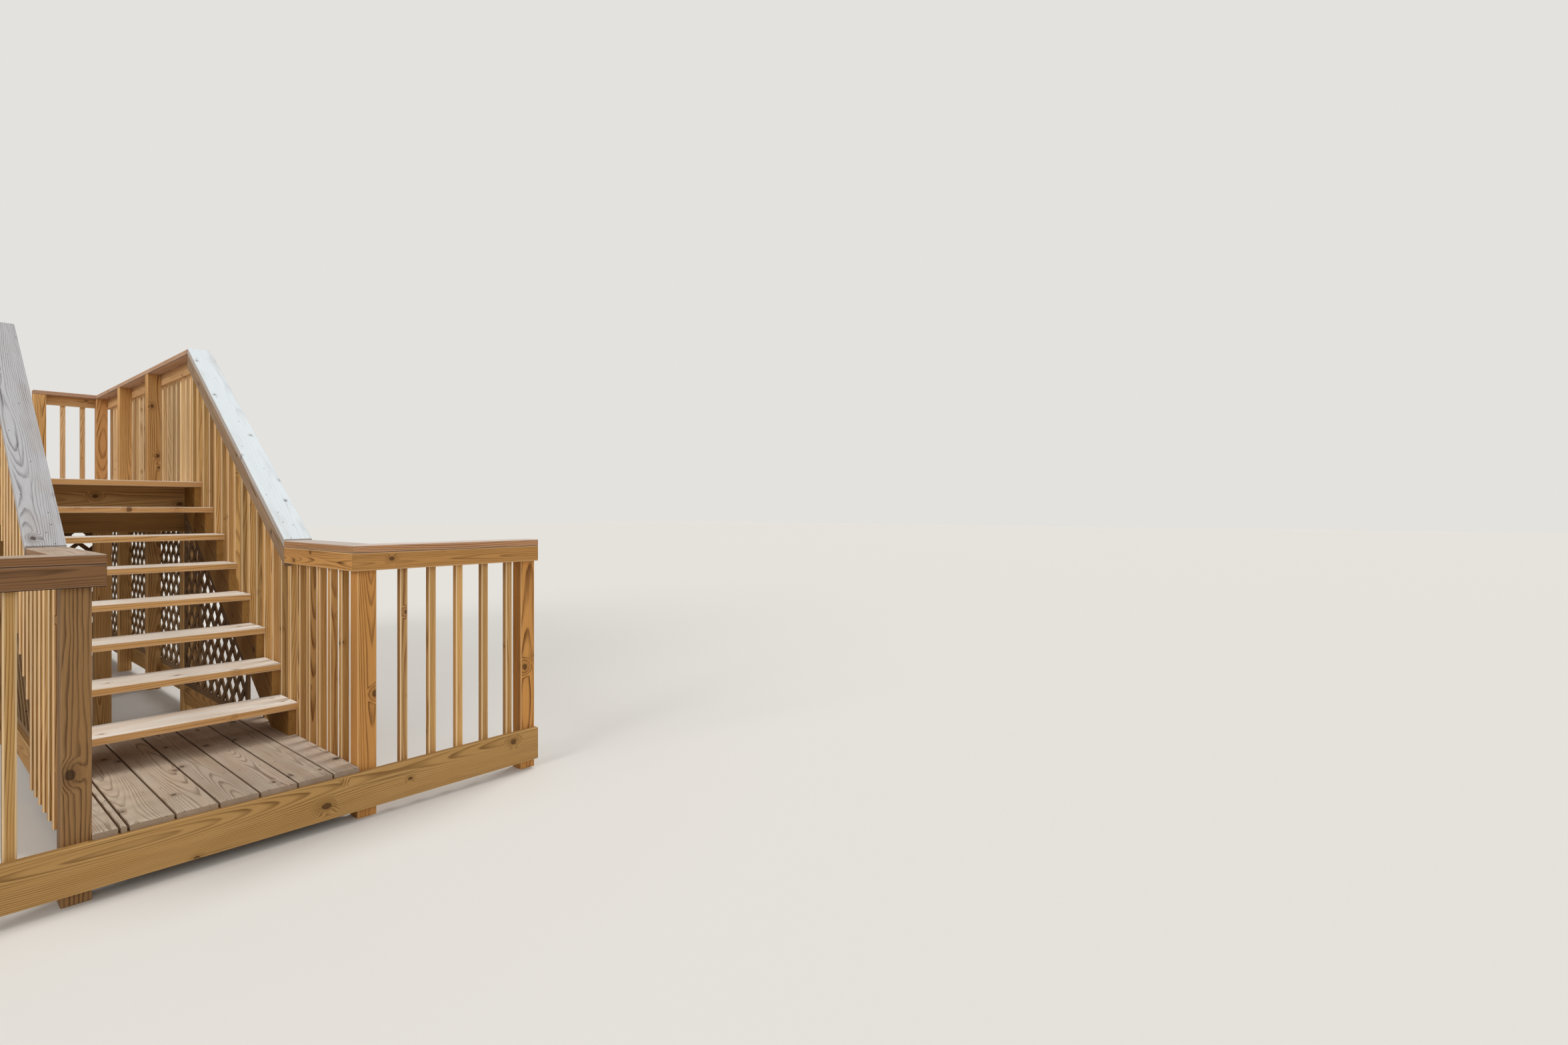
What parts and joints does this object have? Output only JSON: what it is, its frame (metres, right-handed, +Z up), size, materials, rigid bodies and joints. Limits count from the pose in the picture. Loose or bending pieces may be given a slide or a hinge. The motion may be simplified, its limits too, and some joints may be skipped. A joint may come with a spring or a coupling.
{
  "type": "wooden deck stairs",
  "caption": "Straight open-riser timber stair from a low deck bay up to a long guarded landing walk, with square balusters, flat handrail caps and lattice skirts.",
  "frame": {"origin": "on the ground, in the middle of the stair's plan", "axes": "+Z up, +Y up the flight and along the landing, +X to the right of a person who climbs"},
  "size_m": [2.925, 6.647, 2.7298],
  "materials": {
    "tread_pine": "rough sawn, weathered on top",
    "deck_pine": "rough sawn, weathered grey-brown",
    "cap_pine": "planed, weathered grey",
    "lattice_pine": "rough sawn, dark",
    "guard_pine": "planed, warm brown with knots",
    "frame_pine": "planed, warm brown with knots"
  },
  "bodies": {
    "root": {"front_rim": "frame_pine", "deck_side_rims": "frame_pine", "deck_joists": "frame_pine", "deck_boards": "deck_pine", "deck_posts": "frame_pine", "stringer_left": "frame_pine", "stringer_right": "frame_pine", "tread_1": "tread_pine", "tread_2": "tread_pine", "tread_3": "tread_pine", "tread_4": "tread_pine", "tread_5": "tread_pine", "tread_6": "tread_pine", "tread_7": "tread_pine", "landing_end_rims": "frame_pine", "landing_side_rims": "frame_pine", "landing_joists": "frame_pine", "landing_beams": "frame_pine", "landing_boards": "tread_pine", "landing_posts": "frame_pine", "front_posts": "frame_pine", "balusters_front_left": "guard_pine", "balusters_front_right": "guard_pine", "balusters_return_left": "guard_pine", "balusters_return_right": "guard_pine", "balusters_slope_left": "guard_pine", "balusters_slope_right": "guard_pine", "balusters_landing_left": "guard_pine", "balusters_landing_right": "guard_pine", "balusters_landing_back": "guard_pine", "sub_rails_front": "guard_pine", "sub_rails_return": "guard_pine", "sub_rails_slope": "guard_pine", "sub_rails_landing": "guard_pine", "caps_front": "cap_pine", "caps_return": "cap_pine", "caps_slope": "cap_pine", "caps_landing": "cap_pine", "cap_back": "cap_pine", "lattice_stair_left": "lattice_pine", "lattice_stair_right": "lattice_pine", "lattice_left": "lattice_pine", "lattice_right": "lattice_pine", "lattice_back": "lattice_pine", "skirt_boards": "frame_pine"}
  },
  "joints": []
}
